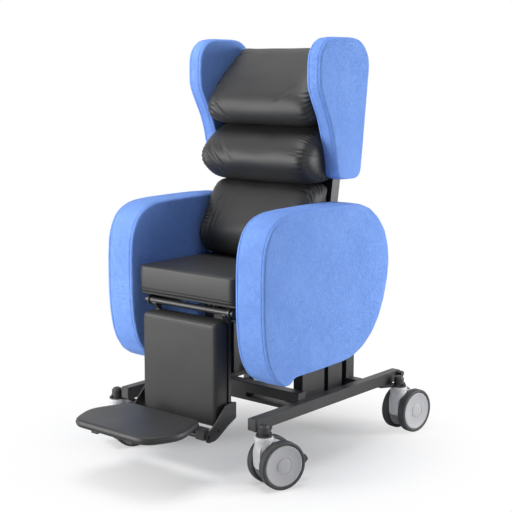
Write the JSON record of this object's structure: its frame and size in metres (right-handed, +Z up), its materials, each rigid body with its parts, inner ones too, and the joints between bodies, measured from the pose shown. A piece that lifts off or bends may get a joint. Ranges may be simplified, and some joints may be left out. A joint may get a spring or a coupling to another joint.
{
  "type": "care chair",
  "caption": "Care chair on castors with a tilting seat, a reclining pillow back with head wings, a swing-up leg rest and a fold-up footplate.",
  "frame": {"origin": "centre of the bounding box on the floor", "axes": "+Z up, the chair faces -Y, and +X is the left of the person in it"},
  "size_m": [0.8112, 1.2234, 1.3508],
  "materials": {
    "black_powder_coat": "satin",
    "grey_plastic": "fine texture",
    "grey_tyre": "matt",
    "blue_upholstery": "soft coated cloth with a fine relief",
    "black_vinyl": "soft sheen",
    "strut_rod": "polished",
    "board": "painted black"
  },
  "bodies": {
    "base": {"base_front_beam": "black_powder_coat", "base_rail_cap_left": "grey_tyre", "base_rail_cap_right": "grey_tyre", "base_rail_left": "black_powder_coat", "base_rail_right": "black_powder_coat", "base_rear_beam": "black_powder_coat", "tower_left": "black_powder_coat", "tower_right": "black_powder_coat"},
    "castor_front_left": {"castor_front_left_housing": "grey_plastic"},
    "castor_front_left_wheels": {"castor_front_left_tyre_inner": "grey_tyre", "castor_front_left_tyre_outer": "grey_tyre", "castor_front_left_wheel_hubs": "grey_plastic"},
    "castor_front_left_pedal": {"castor_front_left_brake_pedal": "grey_tyre"},
    "castor_front_right": {"castor_front_right_housing": "grey_plastic"},
    "castor_front_right_wheels": {"castor_front_right_tyre_inner": "grey_tyre", "castor_front_right_tyre_outer": "grey_tyre", "castor_front_right_wheel_hubs": "grey_plastic"},
    "castor_front_right_pedal": {"castor_front_right_brake_pedal": "grey_tyre"},
    "castor_rear_left": {"castor_rear_left_housing": "grey_plastic"},
    "castor_rear_left_wheels": {"castor_rear_left_tyre_inner": "grey_tyre", "castor_rear_left_tyre_outer": "grey_tyre", "castor_rear_left_wheel_hubs": "grey_plastic"},
    "castor_rear_left_pedal": {"castor_rear_left_brake_pedal": "grey_tyre"},
    "castor_rear_right": {"castor_rear_right_housing": "grey_plastic"},
    "castor_rear_right_wheels": {"castor_rear_right_tyre_inner": "grey_tyre", "castor_rear_right_tyre_outer": "grey_tyre", "castor_rear_right_wheel_hubs": "grey_plastic"},
    "castor_rear_right_pedal": {"castor_rear_right_brake_pedal": "grey_tyre"},
    "seat": {"arm_left": "blue_upholstery", "arm_right": "blue_upholstery", "seat_cushion": "black_vinyl", "seat_front_bar": "black_powder_coat", "seat_pan": "board", "seat_rail_left": "black_powder_coat", "seat_rail_right": "black_powder_coat", "seat_rear_bar": "black_powder_coat", "seat_strut_bar": "black_powder_coat"},
    "back": {"back_board": "board", "back_lower_bar": "black_powder_coat", "back_post_left": "black_powder_coat", "back_post_right": "black_powder_coat", "back_upper_bar": "black_powder_coat", "head_pillow": "black_vinyl", "lumbar_pillow": "black_vinyl", "middle_pillow": "black_vinyl", "wing_left": "blue_upholstery", "wing_right": "blue_upholstery"},
    "leg_rest": {"leg_rest_frame": "black_powder_coat", "leg_rest_pad": "black_vinyl", "leg_rest_link_left": "black_powder_coat", "leg_rest_link_right": "black_powder_coat"},
    "footplate": {"footplate": "black_vinyl", "footplate_bracket": "black_powder_coat"},
    "tilt_strut_cylinder": {"tilt_strut_cylinder": "black_powder_coat"},
    "tilt_strut_rod": {"tilt_strut_rod": "strut_rod"},
    "recline_strut_cylinder": {"recline_strut_cylinder": "black_powder_coat"},
    "recline_strut_rod": {"recline_strut_rod": "strut_rod"},
    "leg_rest_strut_cylinder": {"leg_rest_strut_cylinder": "black_powder_coat"},
    "leg_rest_strut_rod": {"leg_rest_strut_rod": "strut_rod"}
  },
  "joints": [
    {"name": "castor_front_left_swivel", "type": "hinge", "parent": "base", "child": "castor_front_left", "pos_m": [0.319, -0.27245, 0], "axis": [0, 0, 1], "continuous": true},
    {"name": "castor_front_left_roll", "type": "hinge", "parent": "castor_front_left", "child": "castor_front_left_wheels", "pos_m": [0.33388, -0.23243, 0.075], "axis": [0.9373, -0.3486, 0], "continuous": true},
    {"name": "castor_front_left_brake", "type": "hinge", "parent": "castor_front_left", "child": "castor_front_left_pedal", "pos_m": [0.35271, -0.18182, 0.0915], "axis": [-0.9373, 0.3486, 0], "range_deg": [0, 15]},
    {"name": "castor_front_right_swivel", "type": "hinge", "parent": "base", "child": "castor_front_right", "pos_m": [-0.319, -0.27245, 0], "axis": [0, 0, 1], "continuous": true},
    {"name": "castor_front_right_roll", "type": "hinge", "parent": "castor_front_right", "child": "castor_front_right_wheels", "pos_m": [-0.30412, -0.23243, 0.075], "axis": [0.9373, -0.3486, 0], "continuous": true},
    {"name": "castor_front_right_brake", "type": "hinge", "parent": "castor_front_right", "child": "castor_front_right_pedal", "pos_m": [-0.28529, -0.18182, 0.0915], "axis": [-0.9373, 0.3486, 0], "range_deg": [0, 15]},
    {"name": "castor_rear_left_swivel", "type": "hinge", "parent": "base", "child": "castor_rear_left", "pos_m": [0.319, 0.46405, 0], "axis": [0, 0, 1], "continuous": true},
    {"name": "castor_rear_left_roll", "type": "hinge", "parent": "castor_rear_left", "child": "castor_rear_left_wheels", "pos_m": [0.32435, 0.50641, 0.075], "axis": [0.9921, -0.1253, 0], "continuous": true},
    {"name": "castor_rear_left_brake", "type": "hinge", "parent": "castor_rear_left", "child": "castor_rear_left_pedal", "pos_m": [0.33112, 0.55999, 0.0915], "axis": [-0.9921, 0.1253, 0], "range_deg": [0, 15]},
    {"name": "castor_rear_right_swivel", "type": "hinge", "parent": "base", "child": "castor_rear_right", "pos_m": [-0.319, 0.46405, 0], "axis": [0, 0, 1], "continuous": true},
    {"name": "castor_rear_right_roll", "type": "hinge", "parent": "castor_rear_right", "child": "castor_rear_right_wheels", "pos_m": [-0.33388, 0.50407, 0.075], "axis": [0.9373, 0.3486, 0], "continuous": true},
    {"name": "castor_rear_right_brake", "type": "hinge", "parent": "castor_rear_right", "child": "castor_rear_right_pedal", "pos_m": [-0.35271, 0.55468, 0.0915], "axis": [-0.9373, -0.3486, 0], "range_deg": [0, 15]},
    {"name": "tilt", "type": "hinge", "parent": "base", "child": "seat", "pos_m": [0, 0.11295, 0.4454], "axis": [-1, 0, 0], "range_deg": [0, 20]},
    {"name": "recline", "type": "hinge", "parent": "seat", "child": "back", "pos_m": [0, 0.16315, 0.511], "axis": [-1, 0, 0], "range_deg": [0, 35]},
    {"name": "leg_rest", "type": "hinge", "parent": "seat", "child": "leg_rest", "pos_m": [0, -0.25705, 0.516], "axis": [-1, 0, 0], "range_deg": [0, 80]},
    {"name": "footplate_fold", "type": "hinge", "parent": "leg_rest", "child": "footplate", "pos_m": [0, -0.35725, 0.1482], "axis": [-1, 0, 0], "range_deg": [0, 75]},
    {"name": "tilt_strut_turn", "type": "hinge", "parent": "base", "child": "tilt_strut_cylinder", "pos_m": [0, 0.03545, 0.2122], "axis": [-1, 0, 0], "range_deg": [0, 6.95]},
    {"name": "tilt_strut_slide", "type": "slide", "parent": "tilt_strut_cylinder", "child": "tilt_strut_rod", "axis": [0, 0.7275, 0.6861], "range_m": [-0.0461, 0]},
    {"name": "recline_strut_turn", "type": "hinge", "parent": "seat", "child": "recline_strut_cylinder", "pos_m": [-0.06, -0.07905, 0.4677], "axis": [-1, 0, 0], "range_deg": [-0.7003, 0]},
    {"name": "recline_strut_slide", "type": "slide", "parent": "recline_strut_cylinder", "child": "recline_strut_rod", "axis": [0, 0.9941, -0.1088], "range_m": [-0.0442, 0]},
    {"name": "leg_rest_strut_turn", "type": "hinge", "parent": "seat", "child": "leg_rest_strut_cylinder", "pos_m": [0.06, 0.08095, 0.4427], "axis": [-1, 0, 0], "range_deg": [-2.48, 0]},
    {"name": "leg_rest_strut_slide", "type": "slide", "parent": "leg_rest_strut_cylinder", "child": "leg_rest_strut_rod", "axis": [0, -0.9975, 0.0709], "range_m": [0, 0.0965]}
  ],
  "couplings": [
    {"joint": "tilt_strut_turn", "follows": "tilt", "ratio": 0.33771},
    {"joint": "tilt_strut_slide", "follows": "tilt", "m_per_rad": -0.12925},
    {"joint": "recline_strut_turn", "follows": "recline", "ratio": -0.01429},
    {"joint": "recline_strut_slide", "follows": "recline", "m_per_rad": -0.07066},
    {"joint": "leg_rest_strut_turn", "follows": "leg_rest", "ratio": -0.02856},
    {"joint": "leg_rest_strut_slide", "follows": "leg_rest", "m_per_rad": 0.06841}
  ]
}
